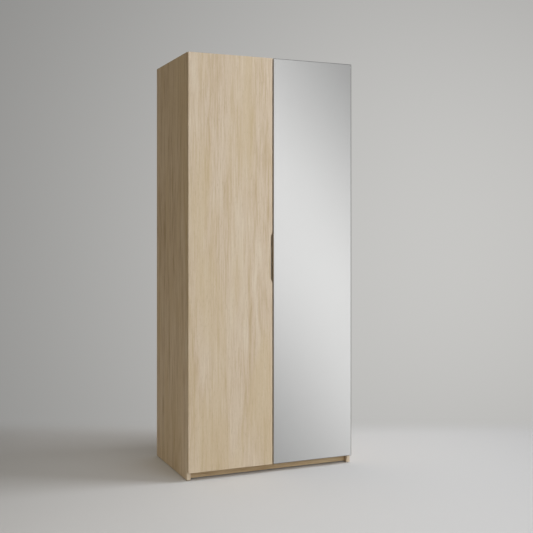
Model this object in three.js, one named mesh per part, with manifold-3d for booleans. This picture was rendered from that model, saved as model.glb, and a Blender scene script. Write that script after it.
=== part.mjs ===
// A tall two-door wardrobe: oak board carcass, one oak door, one mirrored door, concealed cup hinges.
// Millimetres. X runs to the right seen from the front, Y to the back, Z up.
// The origin is on the floor, under the middle of the whole wardrobe.

import * as THREE from 'three';
import { mergeVertices } from 'three/addons/utils/BufferGeometryUtils.js';
import Module from 'manifold-3d';

const wasm = await Module();
wasm.setup();

// ---------- driving dimensions ----------

const width = 900;
const depth = 550;                 // doors included
const height = 2100;
const board = 19;                  // every carcass board
const doorThickness = 19;
const doorStandoff = 2;            // gap between a closed door and the side panel's front edge
const glideHeight = 3;

const frontPlane = -depth / 2;
const backPlane = depth / 2;
const doorBack = frontPlane + doorThickness;
const carcassFront = doorBack + doorStandoff;
const innerHalf = width / 2 - board;         // inner face of a side panel

const backPanel = {
  thickness: 3.2, grooveWidth: 3.6, grooveDepth: 8, setIn: 10.8, sideGap: 1, middleGap: 2, belowBottom: 15,
};
const grooveFront = backPlane - backPanel.setIn - backPanel.grooveWidth;
const grooveBack = backPlane - backPanel.setIn;
const panelFront = grooveFront + 0.2;

const plinth = { recess: 24, bottom: 6, top: 45, rearInset: 24 };
const bottomTop = plinth.top + board;

const shelf = { top: 1749, front: carcassFront + 32, back: grooveFront - 4, sideGap: 0.5 };
const pin = { radius: 2.5, holeRadius: 2.7, holeDepth: 10, reach: 9, collarRadius: 4, collarWidth: 1.2 };
const pinHoles = { rows: 5, pitch: 32, frontInset: 37, backInset: 60 };

const rail = { height: 1672, y: 8, tall: 30, thick: 15, wall: 1.2, endGap: 2.5 };

const doors = { bottom: 42, top: 2098, outerReveal: 1, middleGap: 7 };
const grip = { depth: 12, length: 250, slope: 22, height: 1088, rounding: 5, backLip: 5 };
const glass = { thickness: 4 };

// ---------- small helpers ----------

const arcSegments = 6;

function carried(shape, length) {
  const options = { depth: length, bevelEnabled: false, curveSegments: arcSegments };
  return new THREE.ExtrudeGeometry(shape, options);
}

function box(x0, x1, y0, y1, z0, z1) {
  const geometry = new THREE.BoxGeometry(x1 - x0, y1 - y0, z1 - z0);
  geometry.translate((x0 + x1) / 2, (y0 + y1) / 2, (z0 + z1) / 2);
  return geometry;
}

function outline(points) {
  return new THREE.Shape(points.map(([a, b]) => new THREE.Vector2(a, b)));
}

// A plan outline in X and Y, carried up from z0 to z1.
function carryUp(shape, z0, z1) {
  const geometry = carried(shape, z1 - z0);
  geometry.translate(0, 0, z0);
  return geometry;
}

// A front outline in X and Z, carried back from y0 to y1.
function carryBack(shape, y0, y1) {
  const geometry = carried(shape, y1 - y0);
  geometry.rotateX(Math.PI / 2);
  geometry.translate(0, y1, 0);
  return geometry;
}

// A side outline in Y and Z, carried right from x0 to x1.
function carryRight(shape, x0, x1) {
  const geometry = carried(shape, x1 - x0);
  geometry.rotateX(Math.PI / 2);
  geometry.rotateZ(Math.PI / 2);
  geometry.translate(x0, 0, 0);
  return geometry;
}

// The same solid as a manifold, ready to be cut or joined.
function solid(geometry) {
  const bare = geometry.clone();
  bare.deleteAttribute('normal');
  bare.deleteAttribute('uv');
  const merged = mergeVertices(bare, 1e-4);
  return new wasm.Manifold(new wasm.Mesh({
    numProp: 3,
    vertProperties: new Float32Array(merged.attributes.position.array),
    triVerts: new Uint32Array(merged.index.array),
  }));
}

function geometryOf(manifold) {
  const mesh = manifold.getMesh();
  const geometry = new THREE.BufferGeometry();
  geometry.setAttribute('position', new THREE.BufferAttribute(new Float32Array(mesh.vertProperties), 3));
  geometry.setIndex(new THREE.BufferAttribute(new Uint32Array(mesh.triVerts), 1));
  geometry.computeVertexNormals();
  return geometry;
}

function cut(body, cutters) {
  const whole = solid(body);
  return geometryOf(cutters.reduce((rest, cutter) => rest.subtract(solid(cutter)), whole));
}

function join(pieces) {
  const first = solid(pieces[0]);
  return geometryOf(pieces.slice(1).reduce((whole, next) => whole.add(solid(next)), first));
}

// A round bar from z0 to z1 about the point (x, y).
function uprightBar(x, y, radius, z0, z1, segments = 12) {
  const geometry = new THREE.CylinderGeometry(radius, radius, z1 - z0, segments);
  geometry.rotateX(Math.PI / 2);
  geometry.translate(x, y, (z0 + z1) / 2);
  return geometry;
}

// A round bar from y0 to y1 about the point (x, z).
function deepBar(x, z, radius, y0, y1, segments = 28) {
  const geometry = new THREE.CylinderGeometry(radius, radius, y1 - y0, segments);
  geometry.translate(x, (y0 + y1) / 2, z);
  return geometry;
}

// A round bar from x0 to x1 about the point (y, z).
function crossBar(y, z, radius, x0, x1, segments = 12) {
  const geometry = new THREE.CylinderGeometry(radius, radius, x1 - x0, segments);
  geometry.rotateZ(Math.PI / 2);
  geometry.translate((x0 + x1) / 2, y, z);
  return geometry;
}

// ---------- materials ----------

const finish = {
  oak: new THREE.MeshStandardMaterial({ color: 0xc3b196, roughness: 0.55, metalness: 0 }),
  backing: new THREE.MeshStandardMaterial({ color: 0xbfae92, roughness: 0.7, metalness: 0 }),
  mirror: new THREE.MeshStandardMaterial({ color: 0xe6e8e8, roughness: 0.02, metalness: 1 }),
  steel: new THREE.MeshStandardMaterial({ color: 0xb9bcc0, roughness: 0.3, metalness: 1 }),
  chrome: new THREE.MeshStandardMaterial({ color: 0xd0d3d6, roughness: 0.12, metalness: 1 }),
  plastic: new THREE.MeshStandardMaterial({ color: 0xd9d9d4, roughness: 0.5, metalness: 0 }),
  darkPlastic: new THREE.MeshStandardMaterial({ color: 0x2b2a28, roughness: 0.55, metalness: 0 }),
};

const wardrobe = new THREE.Group();

function piece(name, geometry, material) {
  const mesh = new THREE.Mesh(geometry, material);
  mesh.name = name;
  wardrobe.add(mesh);
  return mesh;
}

// Every left and right pair is made by the same code: hand is -1 on the left and +1 on the right.
const sides = [['left', -1], ['right', 1]];

function span(a, b) {
  return [Math.min(a, b), Math.max(a, b)];
}

// ---------- carcass ----------

function pinPlaces() {
  const frontRow = carcassFront + pinHoles.frontInset;
  const backRow = grooveFront - pinHoles.backInset;
  return [['front', frontRow], ['back', backRow]];
}

const pinHeight = shelf.top - board - pin.radius;

function sidePanel(hand) {
  const floor = innerHalf + backPanel.grooveDepth;
  const plan = outline([
    [hand * innerHalf, carcassFront],
    [hand * width / 2, carcassFront],
    [hand * width / 2, backPlane],
    [hand * innerHalf, backPlane],
    [hand * innerHalf, grooveBack],
    [hand * floor, grooveBack],
    [hand * floor, grooveFront],
    [hand * innerHalf, grooveFront],
  ]);
  const holes = [];
  for (const [, y] of pinPlaces()) {
    for (let row = 0; row < pinHoles.rows; row += 1) {
      const z = pinHeight + (row - (pinHoles.rows - 1) / 2) * pinHoles.pitch;
      const [h0, h1] = span(hand * (innerHalf - 1), hand * (innerHalf + pin.holeDepth));
      holes.push(crossBar(y, z, pin.holeRadius, h0, h1));
    }
  }
  return cut(carryUp(plan, glideHeight, height), holes);
}

for (const [side, hand] of sides) {
  piece(`side_panel_${side}`, sidePanel(hand), finish.oak);
}

function topPanel() {
  const under = height - board;
  const floor = under + backPanel.grooveDepth;
  const section = outline([
    [carcassFront, under],
    [grooveFront, under],
    [grooveFront, floor],
    [grooveBack, floor],
    [grooveBack, under],
    [backPlane, under],
    [backPlane, height],
    [carcassFront, height],
  ]);
  return carryRight(section, -innerHalf, innerHalf);
}

piece('top_panel', topPanel(), finish.oak);
const bottomPanel = box(-innerHalf, innerHalf, carcassFront, grooveFront, plinth.top, bottomTop);
piece('bottom_panel', bottomPanel, finish.oak);

const backReach = innerHalf + backPanel.grooveDepth - backPanel.sideGap;
const backTop = height - board + backPanel.grooveDepth - backPanel.sideGap;
const backBottom = plinth.top - backPanel.belowBottom;
for (const [side, hand] of sides) {
  const [x0, x1] = span(hand * backPanel.middleGap / 2, hand * backReach);
  const sheet = box(x0, x1, panelFront, panelFront + backPanel.thickness, backBottom, backTop);
  piece(`back_panel_${side}`, sheet, finish.backing);
}

// A plastic strip with an H section holds the two back panels together.
const strip = { half: 9, lip: 1.4, webGap: 0.2, sheetGap: 0.15, endGap: 0.5 };

function joiningStrip() {
  const { half, lip } = strip;
  const web = backPanel.middleGap / 2 - strip.webGap;
  const y0 = panelFront - strip.sheetGap;
  const y1 = panelFront + backPanel.thickness + strip.sheetGap;
  const section = outline([
    [-half, y0 - lip], [half, y0 - lip], [half, y0], [web, y0], [web, y1], [half, y1],
    [half, y1 + lip], [-half, y1 + lip], [-half, y1], [-web, y1], [-web, y0], [-half, y0],
  ]);
  return carryUp(section, bottomTop + strip.endGap, height - board - strip.endGap);
}

piece('back_joining_strip', joiningStrip(), finish.plastic);

const plinthFront = carcassFront + plinth.recess;
const rearRailBack = grooveFront - plinth.rearInset;

function plinthBoard(front) {
  return box(-innerHalf, innerHalf, front, front + board, plinth.bottom, plinth.top);
}

piece('plinth_front', plinthBoard(plinthFront), finish.oak);
piece('plinth_rear', plinthBoard(rearRailBack - board), finish.oak);

// Plastic furniture glides, one near each end of a side panel's lower edge.
const glide = { radius: 8.5, inset: 45 };
const glidePlaces = [['front', carcassFront + glide.inset], ['back', backPlane - glide.inset]];
for (const [side, hand] of sides) {
  for (const [end, y] of glidePlaces) {
    const disc = uprightBar(hand * (width - board) / 2, y, glide.radius, 0, glideHeight, 24);
    piece(`glide_${side}_${end}`, disc, finish.darkPlastic);
  }
}

// A screw foot carries the middle of the bottom panel: a flared base, a stem and a plate, as [radius, height].
const foot = { base: 21, waist: 17, stem: 9, shoulder: 20, plate: 24 };
const footProfile = [
  [0, 0],
  [foot.base, 0],
  [foot.base, 3.5],
  [foot.waist, 6],
  [foot.stem, 8],
  [foot.stem, 30],
  [foot.shoulder, 33],
  [foot.plate, 37],
  [foot.plate, plinth.top],
  [0, plinth.top],
];
const centreFoot = new THREE.LatheGeometry(footProfile.map(([r, z]) => new THREE.Vector2(r, z)), 24);
centreFoot.rotateX(Math.PI / 2);
piece('centre_foot', centreFoot, finish.darkPlastic);

const shelfReach = innerHalf - shelf.sideGap;
const hatShelf = box(-shelfReach, shelfReach, shelf.front, shelf.back, shelf.top - board, shelf.top);
piece('hat_shelf', hatShelf, finish.oak);

// A shelf pin: a shank in its hole and a collar that is flat on top, where the shelf lies.
function shelfPin(hand, y) {
  const [s0, s1] = span(hand * (innerHalf - pin.reach), hand * (innerHalf + pin.holeDepth - 1));
  const [c0, c1] = span(hand * (innerHalf - pin.collarWidth), hand * innerHalf);
  const top = pinHeight + pin.radius;
  const beyond = 2 * pin.collarRadius;
  const shank = crossBar(y, pinHeight, pin.radius, s0, s1);
  const collar = crossBar(y, pinHeight, pin.collarRadius, c0, c1);
  const collarTop = box(c0 - 1, c1 + 1, y - beyond, y + beyond, top, top + beyond);
  return join([shank, cut(collar, [collarTop])]);
}

for (const [side, hand] of sides) {
  for (const [end, y] of pinPlaces()) {
    piece(`shelf_pin_${side}_${end}`, shelfPin(hand, y), finish.steel);
  }
}

// ---------- clothes rail ----------

function ovalPath(Target, halfThick, halfTall) {
  const path = new Target();
  const straight = halfTall - halfThick;
  path.moveTo(halfThick, -straight);
  path.lineTo(halfThick, straight);
  path.absarc(0, straight, halfThick, 0, Math.PI, false);
  path.lineTo(-halfThick, -straight);
  path.absarc(0, -straight, halfThick, Math.PI, 2 * Math.PI, false);
  return path;
}

// An oval section in Y and Z carried along X.
function ovalBar(outerThick, outerTall, x0, x1, innerThick = 0, innerTall = 0) {
  const shape = ovalPath(THREE.Shape, outerThick / 2, outerTall / 2);
  if (innerThick > 0) shape.holes.push(ovalPath(THREE.Path, innerThick / 2, innerTall / 2));
  const geometry = carryRight(shape, x0, x1);
  geometry.translate(0, rail.y, rail.height);
  return geometry;
}

const railReach = innerHalf - rail.endGap;
const railBore = { thick: rail.thick - 2 * rail.wall, tall: rail.tall - 2 * rail.wall };
const railTube = ovalBar(rail.thick, rail.tall, -railReach, railReach, railBore.thick, railBore.tall);
piece('clothes_rail', railTube, finish.chrome);

// Each end sits in a cupped flange screwed to the side panel; the cup is open at the top.
const bracket = { thick: 34, tall: 62, sheet: 2, play: 0.4, wall: 2, cupLength: 14 };

function railBracket(hand) {
  const { sheet, play, wall, cupLength } = bracket;
  const [p0, p1] = span(hand * (innerHalf - sheet), hand * innerHalf);
  const [c0, c1] = span(hand * (innerHalf - cupLength), hand * (innerHalf - sheet / 2));
  const [h0, h1] = span(hand * (innerHalf - cupLength - 1), hand * (innerHalf - sheet));
  const flange = ovalBar(bracket.thick, bracket.tall, p0, p1);
  const cup = ovalBar(rail.thick + 2 * (play + wall), rail.tall + 2 * (play + wall), c0, c1);
  const bore = ovalBar(rail.thick + 2 * play, rail.tall + 2 * play, h0, h1);
  const halfBore = rail.thick / 2 + play;
  const mouth = box(h0, h1, rail.y - halfBore, rail.y + halfBore, rail.height, rail.height + bracket.tall);
  return cut(join([flange, cup]), [bore, mouth]);
}

for (const [side, hand] of sides) {
  piece(`rail_bracket_${side}`, railBracket(hand), finish.chrome);
}

// Angle brackets under the top panel take the screws that tie the wardrobe to a wall.
const tie = { leg: 40, across: 40, sheet: 2.5, place: 300 };
for (const [side, hand] of sides) {
  const under = height - board;
  const section = outline([
    [panelFront, under],
    [panelFront - tie.leg, under],
    [panelFront - tie.leg, under - tie.sheet],
    [panelFront - tie.sheet, under - tie.sheet],
    [panelFront - tie.sheet, under - tie.leg],
    [panelFront, under - tie.leg],
  ]);
  const middle = hand * tie.place;
  const angle = carryRight(section, middle - tie.across / 2, middle + tie.across / 2);
  piece(`wall_bracket_${side}`, angle, finish.steel);
}

// ---------- doors ----------

const doorEdge = { outer: width / 2 - doors.outerReveal, inner: doors.middleGap / 2 };
const hingeCount = 4;
const hingeEndInset = 100;

function hingeHeights() {
  const first = doors.bottom + hingeEndInset;
  const step = (doors.top - hingeEndInset - first) / (hingeCount - 1);
  return [...Array(hingeCount).keys()].map((index) => first + index * step);
}

// A corner at (x, z) rounded between the points before and after it.
function rounded(path, before, corner, after, radius) {
  const towards = (from, to) => {
    const length = Math.hypot(to[0] - from[0], to[1] - from[1]);
    const share = Math.min(radius, length / 2) / length;
    return [from[0] + (to[0] - from[0]) * share, from[1] + (to[1] - from[1]) * share];
  };
  const start = towards(corner, before);
  const end = towards(corner, after);
  path.lineTo(start[0], start[1]);
  path.quadraticCurveTo(corner[0], corner[1], end[0], end[1]);
}

// The oak door's front outline: a board with a finger grip cut into its right edge.
function gripDoorOutline() {
  const edge = -doorEdge.inner;
  const deep = edge - grip.depth;
  const half = grip.length / 2;
  const straight = half - grip.slope;
  const gripLine = [
    [edge, doors.bottom],
    [edge, grip.height - half],
    [deep, grip.height - straight],
    [deep, grip.height + straight],
    [edge, grip.height + half],
    [edge, doors.top],
  ];
  const shape = new THREE.Shape();
  shape.moveTo(-doorEdge.outer, doors.bottom);
  shape.lineTo(edge, doors.bottom);
  for (let i = 1; i < gripLine.length - 1; i += 1) {
    rounded(shape, gripLine[i - 1], gripLine[i], gripLine[i + 1], grip.rounding);
  }
  shape.lineTo(edge, doors.top);
  shape.lineTo(-doorEdge.outer, doors.top);
  shape.closePath();
  return shape;
}

// ---------- concealed cup hinges ----------

// Hinge plans are drawn in (u, v): u runs into the wardrobe from the side panel's inner face,
// v to the front from the panel's front edge. Heights w are counted from the middle of the hinge.
const pivots = {
  armOuter: [22, -10.92],
  armInner: [25, -3.5],
  cupOuter: [-7.28, 4.82],
  cupInner: [-7.6, 10.5],
};
const cupHinge = {
  cupRadius: 17.5,
  cupWall: 1,
  cupDepth: 12.5,
  cupEdge: 22.5,                 // cup centre from the door's outer edge
  boreGap: 0.25,
  tabAcross: 22,
  tabHeight: 52,
  tabSheet: 1.1,
  tabLift: 0.1,
  lip: 0.4,
  pinRadius: 1.25,
  eyeGap: 0.12,
  eyeWall: 1,
  openPivotPlay: 1.9,            // the inner link's free end swings this far off its pin
  linkNear: 0.4,                 // links lie on either side of the hinge's middle
  linkFar: 7,
  linkHalfWidth: 1.5,
  cheekNear: 7.6,
  cheekFar: 9.2,
};

function place(hand, [u, v]) {
  return [hand * (innerHalf - u), carcassFront - v];
}

function planShape(hand, points) {
  return outline(points.map((point) => place(hand, point)));
}

function pinBar(hand, [u, v], radius, z0, z1, segments = 12) {
  const [x, y] = place(hand, [u, v]);
  return uprightBar(x, y, radius, z0, z1, segments);
}

const cupU = cupHinge.cupEdge - (board - doors.outerReveal);

function hingeCup(hand, z) {
  const h = cupHinge;
  const [x] = place(hand, [cupU, 0]);
  const halfTab = h.tabAcross / 2;
  const halfTall = h.tabHeight / 2;
  const shell = deepBar(x, z, h.cupRadius, doorBack - h.cupDepth, doorBack + h.lip);
  const pocket = deepBar(x, z, h.cupRadius - h.cupWall, doorBack - h.cupDepth + h.cupWall, doorBack + 5);
  const [t0, t1] = [doorBack + h.tabLift, doorBack + h.tabSheet];
  const tabs = box(x - halfTab, x + halfTab, t0, t1, z - halfTall, z + halfTall);
  let cup = solid(shell).add(solid(tabs)).subtract(solid(pocket));
  for (const [pivot, up] of [[pivots.cupOuter, 1], [pivots.cupInner, -1]]) {
    const aside = Math.abs(pivot[0] - cupU) + h.pinRadius;
    const reach = Math.sqrt((h.cupRadius - h.cupWall / 2) ** 2 - aside ** 2);
    const [z0, z1] = span(z + up * h.linkNear, z + up * reach);
    cup = cup.add(solid(pinBar(hand, pivot, h.pinRadius, z0, z1)));
  }
  return geometryOf(cup);
}

// A link is a bowed plate with an eye at each end; its route lists the middle line from the arm to the cup.
function hingeLink(hand, route, z0, z1, holes) {
  const h = cupHinge;
  const curve = new THREE.SplineCurve(route.map(([u, v]) => new THREE.Vector2(u, v)));
  const steps = 8;
  const left = [];
  const right = [];
  for (let i = 0; i <= steps; i += 1) {
    const point = curve.getPoint(i / steps);
    const tangent = curve.getTangent(i / steps);
    left.push([point.x - tangent.y * h.linkHalfWidth, point.y + tangent.x * h.linkHalfWidth]);
    right.unshift([point.x + tangent.y * h.linkHalfWidth, point.y - tangent.x * h.linkHalfWidth]);
  }
  let link = solid(carryUp(planShape(hand, [...left, ...right]), z0, z1));
  const ends = [[route[0], holes[0]], [route[route.length - 1], holes[1]]];
  for (const [pivot, hole] of ends) {
    link = link.add(solid(pinBar(hand, pivot, hole + h.eyeWall, z0, z1, 16)));
  }
  for (const [pivot, hole] of ends) {
    link = link.subtract(solid(pinBar(hand, pivot, hole, z0 - 1, z1 + 1)));
  }
  return geometryOf(link);
}

// The arm with its mounting plate: a cross plate on the side panel, a block, and a channel with two cheeks.
const arm = {
  plate: 2.5, plateBack: -68, plateFront: -27, plateHalf: 10, wingBack: -50, wingFront: -38, wingHalf: 26,
  blockHalf: 6.5, blockTop: 16, channelTop: 20, channelSheet: 1.6, channelBack: -64, channelFront: -24,
  overlap: 0.5, cheekDepth: 8, cheekSlope: 4,
};

// A cheek's end round its pivot, as steps (u, v) from the pivot's middle.
const cheekNose = [[2.8, -1], [1.6, 2.2], [-1.6, 2.2], [-3.2, -2]];

function hingeArm(hand, z) {
  const h = cupHinge;
  const rectangle = (u0, u1, v0, v1, w) => {
    const corners = [[u0, v0], [u1, v0], [u1, v1], [u0, v1]];
    return carryUp(planShape(hand, corners), z - w, z + w);
  };
  const pieces = [
    rectangle(0, arm.plate, arm.plateBack, arm.plateFront, arm.plateHalf),
    rectangle(0, arm.plate, arm.wingBack, arm.wingFront, arm.wingHalf),
    rectangle(arm.plate - arm.overlap, arm.blockTop, arm.plateBack + 3, arm.plateFront - 2, arm.blockHalf),
    rectangle(arm.channelTop - arm.channelSheet, arm.channelTop, arm.channelBack, arm.channelFront, h.cheekFar),
    rectangle(arm.blockTop - arm.overlap, arm.channelTop - arm.overlap, arm.plateBack + 8, arm.plateFront - 6,
      arm.blockHalf),
  ];
  for (const [pivot, up] of [[pivots.armOuter, 1], [pivots.armInner, -1]]) {
    const [u, v] = pivot;
    const [z0, z1] = span(z + up * h.cheekNear, z + up * h.cheekFar);
    const cheek = [
      [arm.channelTop - arm.cheekDepth, arm.channelBack],
      [arm.channelTop, arm.channelBack],
      [arm.channelTop, arm.channelFront],
      ...cheekNose.map(([du, dv]) => [u + du, v + dv]),
      [arm.channelTop - arm.cheekDepth, arm.channelFront - arm.cheekSlope],
    ];
    pieces.push(carryUp(planShape(hand, cheek), z0, z1));
    const [p0, p1] = span(z + up * h.linkNear, z + up * h.cheekFar);
    pieces.push(pinBar(hand, pivot, h.pinRadius, p0, p1));
  }
  return join(pieces);
}

function doorBores(hand) {
  const h = cupHinge;
  const [x] = place(hand, [cupU, 0]);
  const floor = doorBack - h.cupDepth - h.boreGap;
  return hingeHeights().map((z) => deepBar(x, z, h.cupRadius + h.boreGap, floor, doorBack + 5));
}

// The grip is routed from the front: a thin lip of the board stays behind it.
function gripLip() {
  const half = grip.length / 2;
  const edge = -doorEdge.inner;
  const root = edge - 2 * grip.depth;
  return box(root, edge, doorBack - grip.backLip, doorBack, grip.height - half, grip.height + half);
}

const gripDoor = join([carryBack(gripDoorOutline(), frontPlane, doorBack), gripLip()]);
piece('door_oak', cut(gripDoor, doorBores(-1)), finish.oak);

const carrierFront = frontPlane + glass.thickness;
const carrier = box(doorEdge.inner, doorEdge.outer, carrierFront, doorBack, doors.bottom, doors.top);
piece('door_mirror_carrier', cut(carrier, doorBores(1)), finish.oak);
const mirrorGlass = box(doorEdge.inner, doorEdge.outer, frontPlane, carrierFront, doors.bottom, doors.top);
piece('mirror_glass', mirrorGlass, finish.mirror);

const eye = cupHinge.pinRadius + cupHinge.eyeGap;
const openEye = cupHinge.pinRadius + cupHinge.openPivotPlay;
const linkRoutes = {
  outer: [pivots.armOuter, [14.5, -0.5], [8, 5.4], [0, 7.2], pivots.cupOuter],
  inner: [pivots.armInner, [15.4, 2.4], [9.5, 8], [2, 11], pivots.cupInner],
};
for (const [side, hand] of sides) {
  hingeHeights().forEach((z, index) => {
    const h = cupHinge;
    const label = `${side}_${index + 1}`;
    piece(`hinge_arm_${label}`, hingeArm(hand, z), finish.steel);
    piece(`hinge_cup_${label}`, hingeCup(hand, z), finish.steel);
    const outerLink = hingeLink(hand, linkRoutes.outer, z + h.linkNear, z + h.linkFar, [eye, eye]);
    piece(`hinge_outer_link_${label}`, outerLink, finish.steel);
    const innerLink = hingeLink(hand, linkRoutes.inner, z - h.linkFar, z - h.linkNear, [openEye, eye]);
    piece(`hinge_inner_link_${label}`, innerLink, finish.steel);
  });
}

export default wardrobe;
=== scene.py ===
import math

import bmesh
import bpy
import numpy as np
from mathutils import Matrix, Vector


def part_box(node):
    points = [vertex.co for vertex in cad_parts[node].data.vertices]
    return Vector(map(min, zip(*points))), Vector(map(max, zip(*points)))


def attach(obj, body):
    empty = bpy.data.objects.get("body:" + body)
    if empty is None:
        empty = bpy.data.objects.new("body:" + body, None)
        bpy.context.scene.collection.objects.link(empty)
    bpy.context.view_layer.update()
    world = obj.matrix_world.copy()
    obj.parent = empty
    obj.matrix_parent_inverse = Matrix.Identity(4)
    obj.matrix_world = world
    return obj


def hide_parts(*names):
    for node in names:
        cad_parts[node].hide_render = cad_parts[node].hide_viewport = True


# A tall two-door wardrobe in oak laminate with one mirrored door. Metres, X to the right, Y to the back, Z up.

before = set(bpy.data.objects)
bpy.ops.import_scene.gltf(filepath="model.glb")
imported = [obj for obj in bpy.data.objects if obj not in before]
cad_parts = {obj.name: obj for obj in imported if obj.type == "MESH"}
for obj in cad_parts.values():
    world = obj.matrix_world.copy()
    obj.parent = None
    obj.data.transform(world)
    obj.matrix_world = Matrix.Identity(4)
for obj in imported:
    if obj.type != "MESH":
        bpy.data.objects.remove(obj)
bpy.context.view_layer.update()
mm = 0.001
sides = (("left", -1), ("right", 1))
scene = bpy.context.scene
scene.view_settings.view_transform = "Standard"
print("frame loaded")


cameraView = {"place": (-1.80706, -4.45110, 1.24745), "yaw": 22.981, "lens": 60.665, "shiftY": -0.07566}

cameraData = bpy.data.cameras.new("camera")
cameraData.sensor_width = 36
cameraData.lens = cameraView["lens"]
cameraData.shift_y = cameraView["shiftY"]
camera = bpy.data.objects.new("camera", cameraData)
camera.location = cameraView["place"]
camera.rotation_euler = (math.pi / 2, 0, -math.radians(cameraView["yaw"]))
scene.collection.objects.link(camera)
scene.camera = camera
print("camera placed")


# A shape is an array of points and a list of faces.

# Where a node's lowest and highest corners are, as arrays.
def corners(node):
    low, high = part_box(node)
    return np.array(low), np.array(high)


# A rectangle's four corners, anticlockwise.
def rectangle(a0, a1, b0, b1):
    return np.array([[a0, b0], [a1, b0], [a1, b1], [a0, b1]], float)


# The outline, anticlockwise whichever way it was given: a negative shoelace area turns its order round.
def anticlockwise(outline):
    outline = np.asarray(outline, float)
    ahead = np.roll(outline, -1, 0)
    area = (outline[:, 0] * ahead[:, 1] - outline[:, 1] * ahead[:, 0]).sum()
    return outline if area > 0 else outline[::-1]


# Every corner becomes an arc. With A the angle between the corner's two sides, the arc's centre lies
# radius / sin(A/2) along their bisector, and its points turn by equal steps from one side to the other.
def softened(outline, radius, steps=4):
    corner = anticlockwise(outline)
    back = np.roll(corner, 1, 0) - corner
    ahead = np.roll(corner, -1, 0) - corner
    backLength = np.linalg.norm(back, axis=1)
    aheadLength = np.linalg.norm(ahead, axis=1)
    back = back / backLength[:, None]
    ahead = ahead / aheadLength[:, None]
    angle = np.arccos(np.clip((back * ahead).sum(1), -1, 1))
    turn = np.maximum(math.pi - angle, 1e-4)
    room = 0.49 * np.minimum(backLength, aheadLength)
    reach = np.minimum(radius * np.tan(turn / 2), room)
    middle = back + ahead
    middle = middle / np.maximum(np.linalg.norm(middle, axis=1), 1e-9)[:, None]
    arcRadius = reach / np.tan(turn / 2)
    centre = corner + middle * (arcRadius / np.cos(turn / 2))[:, None]
    start = corner + back * reach[:, None] - centre
    end = corner + ahead * reach[:, None] - centre
    share = np.linspace(0, 1, steps + 1)[None, :, None]
    turn = turn[:, None, None]
    arc = (np.sin((1 - share) * turn) * start[:, None] + np.sin(share * turn) * end[:, None]) / np.sin(turn)
    return (centre[:, None] + arc).reshape(-1, 2)


# Every side moves inwards by the same distance: a corner moves along the sum of its two sides' normals,
# divided by one plus the normals' dot product.
def drawnIn(outline, distance):
    side = np.roll(outline, -1, 0) - outline
    side = side / np.maximum(np.linalg.norm(side, axis=1), 1e-12)[:, None]
    normal = np.stack([-side[:, 1], side[:, 0]], 1)
    before = np.roll(normal, 1, 0)
    return outline + (normal + before) * (distance / (1 + (normal * before).sum(1)))[:, None]


# Faces of a grid whose rows are closed rings, with the first and the last ring filled.
def ringFaces(rows, count, capped=True):
    index = np.arange(rows * count).reshape(rows, count)
    ahead = np.roll(index, -1, 1)
    quads = np.stack([index[:-1], ahead[:-1], ahead[1:], index[1:]], -1).reshape(-1, 4).tolist()
    if capped:
        quads += [index[0, ::-1].tolist(), index[-1].tolist()]
    return quads


# Turns (across, up, along) into X, Y and Z for a shape that runs along the named axis.
def axisOrder(points, axis):
    order = {"z": (0, 1, 2), "x": (2, 0, 1), "y": (1, 2, 0)}[axis]
    return points[:, order]


# A closed outline carried along an axis, with both ends eased over a quarter circle: at angle t the ring
# is drawn in by ease * (1 - cos t) and lies ease * (1 - sin t) from the end.
# The outline is in (x, y) for axis z, in (y, z) for axis x and in (z, x) for axis y.
def carried(outline, low, high, axis, ease=0.0, steps=3):
    outline = anticlockwise(outline)
    t = np.linspace(0, math.pi / 2, steps + 1) if ease > 0 else np.array([math.pi / 2])
    inward = ease * (1 - np.cos(t))
    short = ease * (1 - np.sin(t))
    insets = np.concatenate([inward[::-1], inward])
    levels = np.concatenate([low + short[::-1], high - short])
    rings = [np.column_stack([drawnIn(outline, inset), np.full(len(outline), level)])
             for inset, level in zip(insets, levels)]
    return axisOrder(np.concatenate(rings), axis), ringFaces(len(rings), len(outline))


# A profile of (radius, height) pairs turned about a line along the named axis through the point (a, b).
def turned(profile, a, b, axis, around=48):
    radius, height = np.array(profile, float).T
    angle = np.linspace(0, 2 * math.pi, around, endpoint=False)
    across = a + radius[:, None] * np.cos(angle)
    up = b + radius[:, None] * np.sin(angle)
    along = np.repeat(height[:, None], around, 1)
    points = np.stack([across, up, along], -1).reshape(-1, 3)
    return axisOrder(points, axis), ringFaces(len(radius), around)


# Several shapes as one.
def together(*shapes):
    points = np.concatenate([shape[0] for shape in shapes])
    starts = np.cumsum([0] + [len(shape[0]) for shape in shapes[:-1]])
    faces = [[corner + start for corner in face]
             for shape, start in zip(shapes, starts.tolist()) for face in shape[1]]
    return points, faces


# A mesh object at the origin, with doubled points merged and its faces turned outwards.
def meshObject(name, shape):
    mesh = bpy.data.meshes.new(name)
    mesh.from_pydata(shape[0], [], shape[1])
    work = bmesh.new()
    work.from_mesh(mesh)
    bmesh.ops.remove_doubles(work, verts=work.verts, dist=1e-6)
    bmesh.ops.recalc_face_normals(work, faces=work.faces)
    work.to_mesh(mesh)
    work.free()
    made = bpy.data.objects.new(name, mesh)
    scene.collection.objects.link(made)
    return made


# Cuts one shape out of a mesh object for good.
def cutOut(target, shape):
    cutter = meshObject("cutter", shape)
    change = target.modifiers.new("cut", "BOOLEAN")
    change.object = cutter
    change.operation = "DIFFERENCE"
    change.solver = "EXACT"
    bpy.context.view_layer.update()
    result = bpy.data.meshes.new_from_object(target.evaluated_get(bpy.context.evaluated_depsgraph_get()))
    target.modifiers.clear()
    target.data = result
    result.name = target.name
    bpy.data.objects.remove(cutter)


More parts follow.
